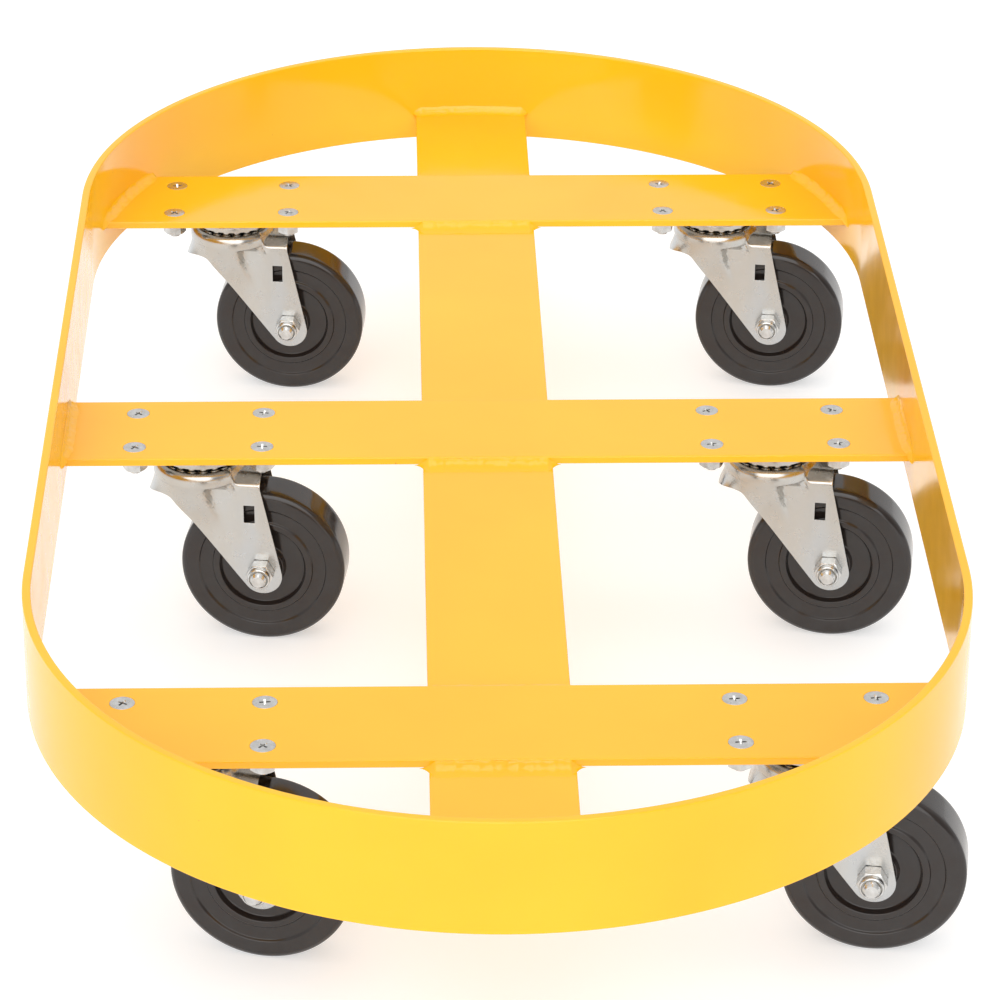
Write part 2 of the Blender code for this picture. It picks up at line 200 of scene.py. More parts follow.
def arc(centre, radius, start, stop, steps):
    """Points on an arc, both ends included, with its angles in degrees."""
    angles = [math.radians(start + (stop - start) * i / steps) for i in range(steps + 1)]
    return [(centre[0] + radius * math.cos(a), centre[1] + radius * math.sin(a)) for a in angles]


def filleted(corners, steps=4):
    """A profile with its corners rounded; each corner is (radius, height, fillet)."""
    points = []
    for i, (r, z, fillet) in enumerate(corners):
        here = Vector((r, z))
        if not fillet or i in (0, len(corners) - 1):
            points.append((r, z))
            continue
        before = (Vector(corners[i - 1][:2]) - here)
        after = (Vector(corners[i + 1][:2]) - here)
        reach = min(fillet, before.length * 0.49, after.length * 0.49)
        start = here + before.normalized() * reach
        stop = here + after.normalized() * reach
        for k in range(steps + 1):
            t = k / steps
            point = start * (1 - t) ** 2 + here * 2 * t * (1 - t) + stop * t ** 2
            points.append((point.x, point.y))
    return points


def lathe(name, profile, steps=64, closed=False):
    """A body turned about Z from (radius, height) points; an open profile starts and ends on the axis."""
    verts = []
    faces = []
    for r, z in profile:
        for k in range(steps):
            a = 2 * math.pi * k / steps
            verts.append((r * math.cos(a), r * math.sin(a), z))
    for i in range(len(profile) if closed else len(profile) - 1):
        faces += band(i, (i + 1) % len(profile), steps)
    return smooth(mesh_of(name, verts, faces))


def plate(name, outlines, bottom, top, rounding=EDGE_ROUND, turn=3):
    """A flat plate between two heights, of one closed outline less those inside it, with rounded edges."""
    curve = bpy.data.curves.new(name, "CURVE")
    curve.dimensions = "2D"
    curve.fill_mode = "BOTH"
    curve.extrude = (top - bottom) / 2 - rounding
    curve.bevel_depth = rounding
    curve.offset = -rounding
    curve.bevel_resolution = turn
    for outline in outlines:
        spline = curve.splines.new("POLY")
        spline.points.add(len(outline) - 1)
        spline.use_cyclic_u = True
        for point, (x, y) in zip(spline.points, outline):
            point.co = (x, y, 0, 1)
    mesh = baked(object_from(name, curve))
    mesh.transform(Matrix.Translation((0, 0, (top + bottom) / 2)))
    return smooth(mesh)


def along_axle(mesh):
    """A mesh turned about Z laid along Y, so that its +Z end points to the caster's near side, -Y."""
    laid = Matrix.Rotation(math.radians(90), 4, "X")
    return moved(mesh, Matrix.Translation((AXLE_LEAD, 0, AXLE_Z)) @ laid)


def threaded(name, radius, pitch, start, stop, segments=40):
    """A threaded rod: a grid around and along it whose radius follows the thread's helix."""
    rows = int((stop - start) / pitch * 8)
    depth = 0.5 * pitch
    verts = []
    faces = []
    for i in range(rows + 1):
        z = start + (stop - start) * i / rows
        chamfer = max(0.0, 0.9 * pitch - (stop - z))
        for k in range(segments):
            a = 2 * math.pi * k / segments
            wave = abs(((z / pitch - k / segments) % 1.0) * 2 - 1)
            r = min(radius - depth * wave, radius - chamfer * 0.8)
            verts.append((r * math.cos(a), r * math.sin(a), z))
    for i in range(rows):
        faces += band(i, i + 1, segments)
    faces += [cap(0, segments), cap(rows, segments)]
    return smooth(mesh_of(name, verts, faces), 50)


def hexagon(across_flats):
    return arc((0, 0), across_flats / math.sqrt(3), 0, 300, 5)


def hex_body(name, across_flats, bottom, top, bore=0.0):
    """A hexagon with its corners chamfered round at both ends, as a nut or a bolt head has them."""
    corner = across_flats / math.sqrt(3) * 1.02
    flat = across_flats / 2 * 0.96
    slope = (corner - flat) * 0.5
    above = top + 0.01 * MM
    below = bottom - 0.01 * MM
    prism = plate(name, [hexagon(across_flats)], bottom, top, 0.12 * MM, 1)
    if bore:
        limits = [(corner, top - slope), (corner, bottom + slope), (flat, below),
                  (bore, below), (bore, above), (flat, above)]
        limit = lathe("limit", limits, 48, closed=True)
    else:
        limits = [(0, above), (flat, above), (corner, top - slope),
                  (corner, bottom + slope), (flat, below), (0, below)]
        limit = lathe("limit", limits, 48)
    return smooth(combined(prism, [limit], "INTERSECT"))


# ---------------------------------------------------------------- the welded frame

FIT = 0.2 * MM      # the gap between a bar's end and the rim, filled by the weld
# Each weld's height, width, the length of its tapered ends and how quickly they taper
RIM_WELD = (5.0 * MM, 5.8 * MM, 16 * MM, 0.6)
END_WELD = (4.6 * MM, 5.5 * MM, 5 * MM, 0.6)
CROSSING_WELD = (4.5 * MM, 9.0 * MM, 8 * MM, 1.8)
# How far each weld runs past the bar's edges
RIM_WELD_PAST = 4.0 * MM
END_WELD_PAST = 2.0 * MM
CROSSING_WELD_PAST = 5.0 * MM
WELD_ROOT = 0.9 * MM    # how deep a weld's back corner lies in the steel
WELD_STEPS = 12         # points across a weld's face


def racetrack(radius, steps=96):
    """The rim's outline in plan: two straight sides and two half circles."""
    return arc((0, RIM_ARC_Y), radius, 0, 180, steps) + arc((0, -RIM_ARC_Y), radius, 180, 360, steps)


def inside_reach(y):
    """Half the width inside the rim at a place along its length."""
    beyond = max(abs(y) - RIM_ARC_Y, 0)
    return math.sqrt(INNER_RADIUS ** 2 - beyond ** 2)


def rim_mesh():
    return plate("rim", [racetrack(RIM_RADIUS), racetrack(INNER_RADIUS)], RIM_LOW.z, RIM_HIGH.z)


def centre_bar_mesh():
    half = BAR_WIDTH / 2
    xs = [half * (i / 8 - 1) for i in range(17)]
    ends = [(x, RIM_ARC_Y + math.sqrt(INNER_RADIUS ** 2 - x ** 2) - FIT) for x in xs]
    outline = ends + [(-x, -y) for x, y in ends]
    return plate("centre_bar", [outline], CENTRE_LOW.z, CENTRE_HIGH.z)


def bar_middle(row):
    """The place of a cross bar's middle line along the dolly."""
    low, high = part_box(f"cross_bar_{row}")
    return (low.y + high.y) / 2


def screw_places(row):
    """The middles of a cross bar's eight screw holes."""
    reach = abs(JOINTS[f"{row}_left_swivel"]["pos_m"][0])
    return [(side * reach + x, bar_middle(row) + y) for side in (-1, 1) for x, y in SCREW_CORNERS]


def cross_bar_mesh(row):
    """A cross bar whose ends follow the rim's inside, with its eight countersunk holes."""
    low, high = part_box(f"cross_bar_{row}")
    ys = [low.y + (high.y - low.y) * i / 16 for i in range(17)]
    end = [(inside_reach(y) - FIT, y) for y in ys]
    outline = end + [(-x, y) for x, y in reversed(end)]
    bar = plate(f"cross_bar_{row}", [outline], low.z, high.z)
    above = high.z + 1 * MM
    below = low.z - 1 * MM
    sink = lathe("sink", [(0, above), (8.1 * MM, above), (7.0 * MM, high.z),
                          (4.3 * MM, high.z - 3.1 * MM), (4.3 * MM, below), (0, below)], 48)
    tools = [moved(sink, Matrix.Translation((x, y, 0))) for x, y in screw_places(row)]
    return smooth(combined(bar, tools, "DIFFERENCE"))


def ripple(distance, seed):
    """The uneven swell of a hand-laid weld at a distance along it."""
    along = Vector((distance / (7.0 * MM), seed * 7.3, 0))
    return 1 + 0.14 * noise.noise(along) + 0.05 * noise.noise(along * 3.1)


def spaced(reach, count):
    """Even places from -reach to reach."""
    return [-reach + 2 * reach * i / count for i in range(count + 1)]


def weld_mesh(stations, shape, seed):
    """A painted fillet weld. Each station has its corner point, the way up the wall and the way out."""
    height, width, ending, fade = shape
    lengths = [0.0]
    for a, b in zip(stations, stations[1:]):
        lengths.append(lengths[-1] + (b[0] - a[0]).length)
    verts = []
    faces = []
    for (point, up, out), distance in zip(stations, lengths):
        from_end = min(distance, lengths[-1] - distance)
        taper = min(1.0, from_end / ending) ** fade
        h = height * ripple(distance, seed) * taper - 0.05 * MM
        w = width * ripple(distance, seed + 0.5) * taper - 0.05 * MM
        root = WELD_ROOT * max(taper, 0.2)
        section = [(-root, -root), (-root, h)]
        for k in range(WELD_STEPS + 1):
            t = k / WELD_STEPS
            hollow = 0.26 + 0.07 * noise.noise(Vector((distance / (4.0 * MM), t * 2, seed)))
            section.append((2 * t * (1 - t) * hollow * w + t * t * w,
                            (1 - t) ** 2 * h + 2 * t * (1 - t) * hollow * h))
        section.append((w, -root))
        for across, rise in section:
            verts.append(point + out * across + up * rise)
    last = len(stations) - 1
    sides = len(section)
    for i in range(last):
        faces += band(i, i + 1, sides)
    faces += [cap(0, sides), cap(last, sides)]
    return smooth(mesh_of("weld", verts, faces), 60)


def rim_weld(bar_y, side, seed):
    """The weld between a cross bar's end and the rim, wrapping a little past both edges of the bar."""
    stations = []
    for along in spaced(BAR_WIDTH / 2 + RIM_WELD_PAST, 160):
        y = bar_y + along
        wall = inside_reach(y)
        drop = max(0.0, abs(along) - BAR_WIDTH / 2 + 1.0 * MM)
        normal = Vector((-wall, -math.copysign(max(abs(y) - RIM_ARC_Y, 0), y), 0)).normalized()
        out = Vector((normal.x * side, normal.y, 0))
        point = Vector((wall * side, y, BAR_HIGH.z - drop * 0.8))
        stations.append((point, Vector((0, 0, 1)), out))
    return weld_mesh(stations, RIM_WELD, seed)


def end_weld(end, seed):
    """The weld across the centre bar's end, on the rim's inner face."""
    stations = []
    for x in spaced(BAR_WIDTH / 2 + END_WELD_PAST, 120):
        y = math.sqrt(INNER_RADIUS ** 2 - x ** 2)
        out = Vector((-x, -y * end, 0)).normalized()
        stations.append((Vector((x, (RIM_ARC_Y + y) * end, CENTRE_HIGH.z)), Vector((0, 0, 1)), out))
    return weld_mesh(stations, END_WELD, seed)


def crossing_weld(bar_y, edge, seed):
    """The weld along a cross bar's edge where the centre bar passes under it."""
    y = bar_y + edge * BAR_WIDTH / 2
    stations = [(Vector((x, y, CENTRE_HIGH.z)), Vector((0, 0, 1)), Vector((0, edge, 0)))
                for x in spaced(BAR_WIDTH / 2 + CROSSING_WELD_PAST, 160)]
    return weld_mesh(stations, CROSSING_WELD, seed)


# ---------------------------------------------------------------- the casters' fixed pieces

def top_plate_mesh():
    """The top plate and, pressed down from it, the stepped cup over the ball race."""
    x = PLATE_HALF.x - PLATE_CORNER
    y = PLATE_HALF.y - PLATE_CORNER
    centres = [((x, y), 0), ((-x, y), 90), ((-x, -y), 180), ((x, -y), 270)]
    outline = [p for centre, start in centres for p in arc(centre, PLATE_CORNER, start, start + 90, 8)]
    holes = [arc(corner, SCREW_RADIUS + 0.4 * MM, 0, 352, 44) for corner in SCREW_CORNERS]
    flat = plate("top_plate", [outline, arc((0, 0), 19 * MM, 0, 356, 89), *holes],
                 PLATE_BOTTOM, PLATE_TOP, 0.5 * MM)
    groove = CUP_BOTTOM + RACE_DEPTH
    cup = lathe("cup", filleted([
        (21.6 * MM, PLATE_TOP - 0.4 * MM, 0),
        (23.4 * MM, PLATE_BOTTOM, 0.8 * MM),
        (22.2 * MM, PLATE_BOTTOM - 1.9 * MM, 0.9 * MM),
        (23.9 * MM, PLATE_BOTTOM - 2.4 * MM, 0.7 * MM),
        (24.7 * MM, PLATE_BOTTOM - 3.3 * MM, 0.8 * MM),
        (24.7 * MM, CUP_BOTTOM - 0.5 * MM, 0.6 * MM),
        (24.0 * MM, CUP_BOTTOM - 0.5 * MM, 0.4 * MM),
        (23.0 * MM, CUP_BOTTOM, 0.2 * MM),
        (22.0 * MM, groove - 0.2 * MM, 1.0 * MM),
        (19.8 * MM, groove + 0.3 * MM, 1.0 * MM),
        (17.6 * MM, groove - 0.2 * MM, 1.0 * MM),
        (16.8 * MM, CUP_BOTTOM, 0.5 * MM),
        (PIN_HOLE, CUP_BOTTOM, 0),
        (PIN_HOLE, CUP_BOTTOM + SHEET, 0),
        (15.5 * MM, CUP_BOTTOM + SHEET, 1.5 * MM),
        (18.3 * MM, PLATE_TOP - 1.6 * MM, 1.2 * MM),
        (19.4 * MM, PLATE_TOP - 0.2 * MM, 0.5 * MM),
        (21.6 * MM, PLATE_TOP - 0.4 * MM, 0),
    ])[:-1], 96, closed=True)
    return smooth(combined(flat, [cup], "UNION"))


def recess_tool(width, length, top, bottom):
    """One wing of a cross recess: a wedge that narrows downwards."""
    work = bmesh.new()
    bmesh.ops.create_cube(work, size=1.0)
    for vert in work.verts:
        shrink = 1.0 if vert.co.z > 0 else 0.42
        vert.co = Vector((vert.co.x * length * shrink, vert.co.y * width * (0.5 + 0.5 * shrink),
                          top if vert.co.z > 0 else bottom))
    mesh = bpy.data.meshes.new("recess")
    work.to_mesh(mesh)
    work.free()
    return mesh


def screw_mesh():
    """A flat-head cross-recess screw, its head up and flush with the bar."""
    top = BAR_HIGH.z - 0.1 * MM
    end = PLATE_LOW.z
    head = lathe("screw", filleted([
        (0, top, 0),
        (SCREW_HEAD, top, 0.35 * MM),
        (SCREW_HEAD, top - 0.35 * MM, 0.1 * MM),
        (SCREW_RADIUS, top - 3.1 * MM, 0.3 * MM),
        (SCREW_RADIUS, end + 4.5 * MM, 0),
        (3.45 * MM, end + 4.0 * MM, 0),
        (0, end + 4.0 * MM, 0),
    ]), 64)
    wings = [recess_tool(1.25 * MM, 6.6 * MM, top + 0.5 * MM, top - 2.4 * MM)]
    wings.append(moved(wings[0], Matrix.Rotation(math.radians(90), 4, "Z")))
    head = smooth(combined(head, wings, "DIFFERENCE"))
    thread = threaded("thread", SCREW_RADIUS, 1.25 * MM, -(end + 7.0 * MM), -end)
    thread = moved(thread, Matrix.Rotation(math.radians(180), 4, "X"))
    return smooth(combined(head, [thread], "UNION"))


def screw_nut_mesh():
    low = PLATE_BOTTOM - 6.0 * MM
    return hex_body("screw_nut", SCREW_NUT_FLATS, low, PLATE_BOTTOM, SCREW_RADIUS + 0.02 * MM)


def kingpin_mesh():
    """The rivet on the swivel axis with its two formed heads."""
    head = 3.4 * MM
    return lathe("kingpin", filleted([
        (0, PIN_HIGH.z, 0),
        (PIN_HEAD, PIN_HIGH.z, 2.2 * MM),
        (PIN_HEAD, PIN_HIGH.z - head, 0.4 * MM),
        (PIN_RADIUS, PIN_HIGH.z - head, 0.2 * MM),
        (PIN_RADIUS, PIN_LOW.z + head, 0.2 * MM),
        (PIN_HEAD, PIN_LOW.z + head, 0.5 * MM),
        (PIN_HEAD - 0.8 * MM, PIN_LOW.z + 0.8 * MM, 0.9 * MM),
        (6.0 * MM, PIN_LOW.z, 1.2 * MM),
        (2.6 * MM, PIN_LOW.z, 0.3 * MM),
        (1.6 * MM, PIN_LOW.z + 0.7 * MM, 0.3 * MM),
        (0, PIN_LOW.z + 0.9 * MM, 0),
    ]), 64)


def lower_race_mesh():
    """The dished race under the fork's crown, which holds the lower row of balls."""
    floor = RACE_LOW.z + 1.9 * MM
    return lathe("lower_race", filleted([
        (RACE_RADIUS - 0.5 * MM, RACE_HIGH.z, 0),
        (RACE_RADIUS, RACE_HIGH.z, 0.3 * MM),
        (RACE_RADIUS, RACE_HIGH.z - 1.2 * MM, 0.6 * MM),
        (RACE_RADIUS - 1.9 * MM, RACE_LOW.z, 0.9 * MM),
        (PIN_HOLE, RACE_LOW.z, 0.2 * MM),
        (PIN_HOLE, floor, 0.2 * MM),
        (RACE_RADIUS - 2.6 * MM, floor, 0.8 * MM),
        (RACE_RADIUS - 1.4 * MM, RACE_HIGH.z, 0.4 * MM),
        (RACE_RADIUS - 0.5 * MM, RACE_HIGH.z, 0),
    ])[:-1], 64, closed=True)


# ---------------------------------------------------------------- the casters' moving pieces

# Radii of the rows of points on the crown's flat top, close together in the groove under the balls
FLAT_ROWS = (PIN_RADIUS + 0.3 * MM, 12 * MM, 16.7 * MM, 17.1 * MM, 17.7 * MM, 18.7 * MM, 19.8 * MM,
             20.9 * MM, 21.9 * MM, 22.8 * MM, 24.0 * MM)
PAN_RADIUS = 28.0 * MM
PAN_NOSE = 31.5 * MM
# The pan's rounded lip, outwards and down from its flat top, as (radius, drop) in millimetres
PAN_LIP = ((24.8, 0.1), (25.8, 0.6), (26.8, 1.6), (27.5, 2.9), (27.9, 4.3), (28.0, 5.6),
           (28.0, 6.6), (28.0, 7.6), (27.9, 8.4), (27.6, 9.0), (27.3, 9.4))
# Behind the pan the crown is lower, and slants down to a tight bend over each leg
TRAIL_STEP = 4.2 * MM
SHOULDER = 10.5 * MM
BEND_CORNER = 9.9 * MM
BEND = 1.5 * MM
FORK_END = 38.2 * MM
FOOT_RADIUS = 11.8 * MM
FOOT_X = AXLE_LEAD + 0.6 * MM
FOOT_Z = AXLE_Z - 3.4 * MM
# The leg's upper corners, as (x, z): where it leaves the nose's skirt, and its trailing corner
LEG_LEAD = Vector((-14.5 * MM, 95.6 * MM))
LEG_TRAIL = Vector((FORK_END, 103.6 * MM))
LEG_ROWS = 26
LEG_SLANT = 0.47    # how much the skirt's and leg's edges rise for each metre that they stand out
# Columns of points around half the crown: its nose, its side, the leg and the trailing edge
NOSE_COLUMNS = 32
SIDE_COLUMNS = 16
LEG_COLUMNS = 16
TRAIL_COLUMNS = 10
# Where each row of the lip goes behind the pan, from the pan's rim (0) to the fork's side or end (1)
TRAIL_ROWS = (0, 0, 0, 0, 0, 0.25, 0.5, 0.75, 0.9, 0.97, 1)
SLOT_HALF = Vector((3.3 * MM, 5.75 * MM))
SLOT_X = AXLE_LEAD - 6.6 * MM
SLOT_Z = AXLE_Z + 37.7 * MM


def step(value, low, high):
    """A smooth step from 0 to 1 between two values."""
    t = min(max((value - low) / (high - low), 0.0), 1.0)
    return t * t * (3 - 2 * t)


def foot_angle(point, side):
    """The angle on the leg's round foot, in degrees, where a straight edge from a point touches it."""
    away = Vector((point[0] - FOOT_X, point[1] - FOOT_Z))
    return math.degrees(math.atan2(away.y, away.x) + side * math.acos(FOOT_RADIUS / away.length))


def shoulder_drop(y):
    """How far the crown behind the pan lies below the pan's top, at a distance from its middle line."""
    corners = [(0, TRAIL_STEP, 0), (SHOULDER, TRAIL_STEP, 2.0 * MM),
               (FORK_OUTSIDE, BEND_CORNER, BEND), (FORK_OUTSIDE, BEND_CORNER + 2 * BEND, 0)]
    points = filleted(corners, 8)
    for (y0, drop0), (y1, drop1) in zip(points, points[1:]):
        if y1 - y0 > 1e-9 and y <= y1:
            return drop0 + (drop1 - drop0) * (y - y0) / (y1 - y0)
    return BEND_CORNER + BEND


def crown_columns():
    """Plan angles around half the crown; behind the pan, each with the point where it leaves the crown."""
    abeam = math.radians(90)
    meet = math.asin(FORK_OUTSIDE / PAN_RADIUS)
    columns = []
    for i in range(NOSE_COLUMNS + 1):
        columns.append((math.radians(180 - 90 * i / NOSE_COLUMNS), None))
    for i in range(1, SIDE_COLUMNS + 1):
        columns.append((abeam + (meet - abeam) * i / SIDE_COLUMNS, None))
    first = PAN_RADIUS * math.cos(meet)
    for i in range(1, LEG_COLUMNS + 1):
        x = first + (FORK_END - first) * i / LEG_COLUMNS
        columns.append((math.atan2(FORK_OUTSIDE, x), Vector((x, FORK_OUTSIDE))))
    for i in range(1, TRAIL_COLUMNS + 1):
        y = FORK_OUTSIDE * (1 - i / TRAIL_COLUMNS)
        columns.append((math.atan2(y, FORK_END), Vector((FORK_END, y))))
    return columns


def crown_profile(angle, leaves):
    """The crown's surface from the flat top's rim outwards, as points (x, y, z)."""
    along = Vector((math.cos(angle), math.sin(angle)))
    lip = [(r * MM, drop * MM) for r, drop in PAN_LIP]
    if leaves:
        ahead = leaves.length
        reached = []
        for (r, _), share in zip(lip, TRAIL_ROWS):
            radius = r if not share else PAN_RADIUS + (ahead - PAN_RADIUS) * share
            low = shoulder_drop(min(radius * along.y, FORK_OUTSIDE))
            reached.append((radius, low * step(radius, 24.2 * MM, 27.6 * MM)))
        blend = step(ahead * along.x, 21.5 * MM, 25.5 * MM)
        lip = [(a + (b - a) * blend, c + (d - c) * blend) for (a, c), (b, d) in zip(lip, reached)]
    return [(*(along * radius), CROWN_TOP - drop) for radius, drop in lip]


def leg_border(count):
    """Points along the leg's free edge: down the leading side, round the foot and up the trailing side."""
    start = foot_angle(LEG_LEAD, 1)
    stop = foot_angle(LEG_TRAIL, -1) + 360
    foot = [Vector(p) for p in arc((FOOT_X, FOOT_Z), FOOT_RADIUS, start, stop, 24)]
    lead = [LEG_LEAD.lerp(foot[0], i / 16) for i in range(16)]
    trail = [foot[-1].lerp(LEG_TRAIL, (i + 1) / 12) for i in range(12)]
    path = lead + foot + trail
    picked = []
    for i in range(count):
        where = (len(path) - 1) * i / (count - 1)
        at = min(int(where), len(path) - 2)
        picked.append(path[at].lerp(path[at + 1], where - at))
    return picked


def skirt_bottom(x, y):
    """The lower edge of the crown's rounded nose, which sweeps down into the legs' leading edges."""
    low = LEG_LEAD.y + 4.6 * MM * step(-x, 12 * MM, 24 * MM) + 2.6 * MM * step(-x, 22 * MM, 32 * MM)
    return low + LEG_SLANT * (y - FORK_OUTSIDE)


def crown_groove(radius):
    """How deep the ball groove in the crown's flat top is at a radius."""
    away = radius - BALL_CIRCLE
    reach = math.sqrt(max(0.0, (BALL_RADIUS + 0.1 * MM) ** 2 - away ** 2))
    return max(0.0, reach - BALL_RADIUS + RACE_DEPTH)


def leg_surface(edge, top, x, z):
    """How far out the leg's outer face is: flared towards the crown's nose, flat behind it."""
    plane = FORK_OUTSIDE - max(0.0, 23 * MM - x) * 0.05
    flare = edge.y - FORK_OUTSIDE
    reach = 4.0 * MM
    reach += 26 * MM * step(-edge.x, -7.5 * MM, -1.5 * MM)
    reach += 200 * MM * step(-edge.x, 12 * MM, 19 * MM)
    depth = top - z
    fade = 1 - step(depth, 0, reach)
    settled = step(depth, 0, 5 * MM)
    return FORK_OUTSIDE + (plane - FORK_OUTSIDE) * settled * step(edge.x, -16 * MM, -2 * MM) + flare * fade


def nose_column(edge, top):
    """The skirt under the pan's lip at the nose: it spreads outwards on its way down."""
    outwards = edge.normalized() * (PAN_NOSE - PAN_RADIUS) * step(-edge.x, 15 * MM, 27 * MM)
    bottom = skirt_bottom(edge.x, edge.y)
    points = []
    for k in range(1, LEG_ROWS + 1):
        t = k / LEG_ROWS
        points.append((*(edge + outwards * t ** 1.4), top + (bottom - top) * t))
    return points


def leg_column(edge, top, foot):
    """One column of the leg's outer face, from the crown down to a point on the leg's free edge."""
    lift = LEG_SLANT * max(0.0, leg_surface(edge, top, foot.x, foot.y) - FORK_OUTSIDE)
    points = []
    for k in range(1, LEG_ROWS + 1):
        spread = (k / LEG_ROWS) ** 1.15
        x = edge.x + (foot.x - edge.x) * spread
        z = top + (foot.y + lift - top) * spread
        points.append((x, leg_surface(edge, top, x, z), z))
    return points


def fork_half(side):
    """The outer face of half the fork as columns of points, from the kingpin hole to the free edge."""
    columns = crown_columns()
    ends = [Vector(crown_profile(*column)[-1]) for column in columns]
    nose = [end.x < LEG_LEAD.x - 1 * MM for end in ends].count(True)
    legs = [leaves is None or leaves.y > FORK_OUTSIDE - 1e-6 for _, leaves in columns].count(True)
    border = leg_border(legs - nose)
    rows = []
    for i, (angle, leaves) in enumerate(columns):
        along = Vector((math.cos(angle), math.sin(angle)))
        column = [(*(along * radius), CROWN_TOP - crown_groove(radius)) for radius in FLAT_ROWS]
        column += crown_profile(angle, leaves)
        edge = ends[i].xy
        if i < nose:
            column += nose_column(edge, ends[i].z)
        elif i < legs:
            column += leg_column(edge, ends[i].z, border[i - nose])
        rows.append([(x, y * side, z) for x, y, z in column])
    return rows


def fork_skin():
    """The fork's outer face: both halves' columns joined into one surface."""
    verts = []
    faces = []
    for side in (1, -1):
        columns = fork_half(side)
        base = len(verts)
        starts = []
        for column in columns:
            starts.append(base)
            base += len(column)
            verts.extend(column)
        for i in range(len(columns) - 1):
            a, b = starts[i], starts[i + 1]
            for k in range(min(len(columns[i]), len(columns[i + 1])) - 1):
                faces.append((a + k, a + k + 1, b + k + 1, b + k))
    mesh = cleaned(mesh_of("fork", verts, faces), 2e-5)
    work = bmesh.new()
    work.from_mesh(mesh)
    top = max(work.faces, key=lambda f: f.calc_center_median().z)
    if top.normal.z < 0:
        bmesh.ops.reverse_faces(work, faces=work.faces)
    work.to_mesh(mesh)
    work.free()
    return mesh


def fork_mesh():
    """The pressed fork: a dished crown with a rounded lip, bent down into two legs with a slot in each."""
    fork = object_from("fork", fork_skin())
    shell = fork.modifiers.new("sheet", "SOLIDIFY")
    shell.thickness = SHEET
    shell.offset = -1
    shell.use_even_offset = True
    shell.thickness_clamp = 1.0
    shell.use_quality_normals = True
    solid = baked(fork)
    past = 100 * MM
    outline = [(SLOT_X + x * SLOT_HALF.x, SLOT_Z + z * SLOT_HALF.y)
               for x, z in ((-1, -1), (1, -1), (1, 1), (-1, 1))]
    slot = plate("slot", [outline], -past, past, 0.1 * MM, 0)
    slot = moved(slot, Matrix.Rotation(math.radians(90), 4, "X"))
    bore = BOLT_RADIUS + 0.3 * MM
    hole = along_axle(lathe("hole", [(0, past), (bore, past), (bore, -past), (0, -past)], 48))
    solid = combined(solid, [slot, hole], "DIFFERENCE")
    fork = object_from("fork", solid)
    edge = fork.modifiers.new("sheared_edges", "BEVEL")
    edge.width = 0.35 * MM
    edge.segments = 2
    edge.limit_method = "ANGLE"
    edge.angle_limit = math.radians(55)
    edge.use_clamp_overlap = True
    return smooth(baked(fork), 40)


def balls_mesh():
    """The upper row of bearing balls."""
    count = int(2 * math.pi * BALL_CIRCLE / (2 * BALL_RADIUS))
    middle = (CROWN_TOP + CUP_BOTTOM) / 2
    work = bmesh.new()
    for i in range(count):
        a = 2 * math.pi * i / count
        place = Matrix.Translation((BALL_CIRCLE * math.cos(a), BALL_CIRCLE * math.sin(a), middle))
        bmesh.ops.create_icosphere(work, subdivisions=4, radius=BALL_RADIUS, matrix=place)
    mesh = bpy.data.meshes.new("balls")
    work.to_mesh(mesh)
    work.free()
    mesh.shade_smooth()
    return mesh


def wheel_mesh():
    """The moulded wheel: a plain tread, a wide land, a shallow groove, a ridge, a recess and the hub."""
    half = WHEEL_HALF
    r = WHEEL_RADIUS
    side = [
        (r, 0, 0),
        (r, half * 0.55, 0),
        (r - 0.05 * MM, half - 2.2 * MM, 1.2 * MM),
        (r - 2.6 * MM, half, 1.6 * MM),
        (0.785 * r, half, 0.5 * MM),
        (0.765 * r, half - 1.2 * MM, 0.4 * MM),
        (0.62 * r, half - 1.35 * MM, 0.4 * MM),
        (0.60 * r, half - 0.1 * MM, 0.5 * MM),
        (0.53 * r, half - 0.1 * MM, 0.6 * MM),
        (0.505 * r, half - 3.6 * MM, 0.8 * MM),
        (0.28 * r, half - 3.8 * MM, 1.0 * MM),
        (0.255 * r, half - 0.2 * MM, 0.5 * MM),
        (8.35 * MM, half - 0.2 * MM, 0.3 * MM),
        (8.3 * MM, 0, 0),
    ]
    near = filleted(side, 5)
    far = [(radius, -height) for radius, height in reversed(near[1:-1])]
    return along_axle(lathe("wheel", near + far, 128, closed=True))


def sleeve_mesh():
    """The tube on the axle bolt that the wheel turns on, clamped between the fork's legs."""
    half = FORK_INSIDE - 0.2 * MM
    return along_axle(lathe("axle_sleeve", filleted([
        (6.4 * MM, half, 0),
        (8.0 * MM, half, 0.3 * MM),
        (8.0 * MM, -half, 0.3 * MM),
        (5.1 * MM, -half, 0.2 * MM),
        (5.1 * MM, half, 0.2 * MM),
        (6.4 * MM, half, 0),
    ])[:-1], 48, closed=True))


def axle_bolt_mesh():
    """The axle bolt: a chamfered hexagon head on the far side and a threaded end on the near side."""
    seat = BOLT_SEAT
    shank = lathe("axle_bolt", [(0, seat + 6 * MM), (4.1 * MM, seat + 6 * MM), (BOLT_RADIUS, seat + 5 * MM),
                                (BOLT_RADIUS, -seat), (0, -seat)], 48)
    thread = threaded("thread", BOLT_RADIUS, 1.6 * MM, seat + 4.5 * MM, seat + 14.5 * MM)
    head = hex_body("head", BOLT_FLATS, -seat - 6.0 * MM, -seat)
    washer = 6.9 * MM
    flange = lathe("flange", [(0, -seat + 0.1 * MM), (washer, -seat + 0.1 * MM),
                              (washer, -seat - 0.4 * MM), (0, -seat - 0.4 * MM)], 48)
    return smooth(along_axle(combined(shank, [thread, flange, head], "UNION")))


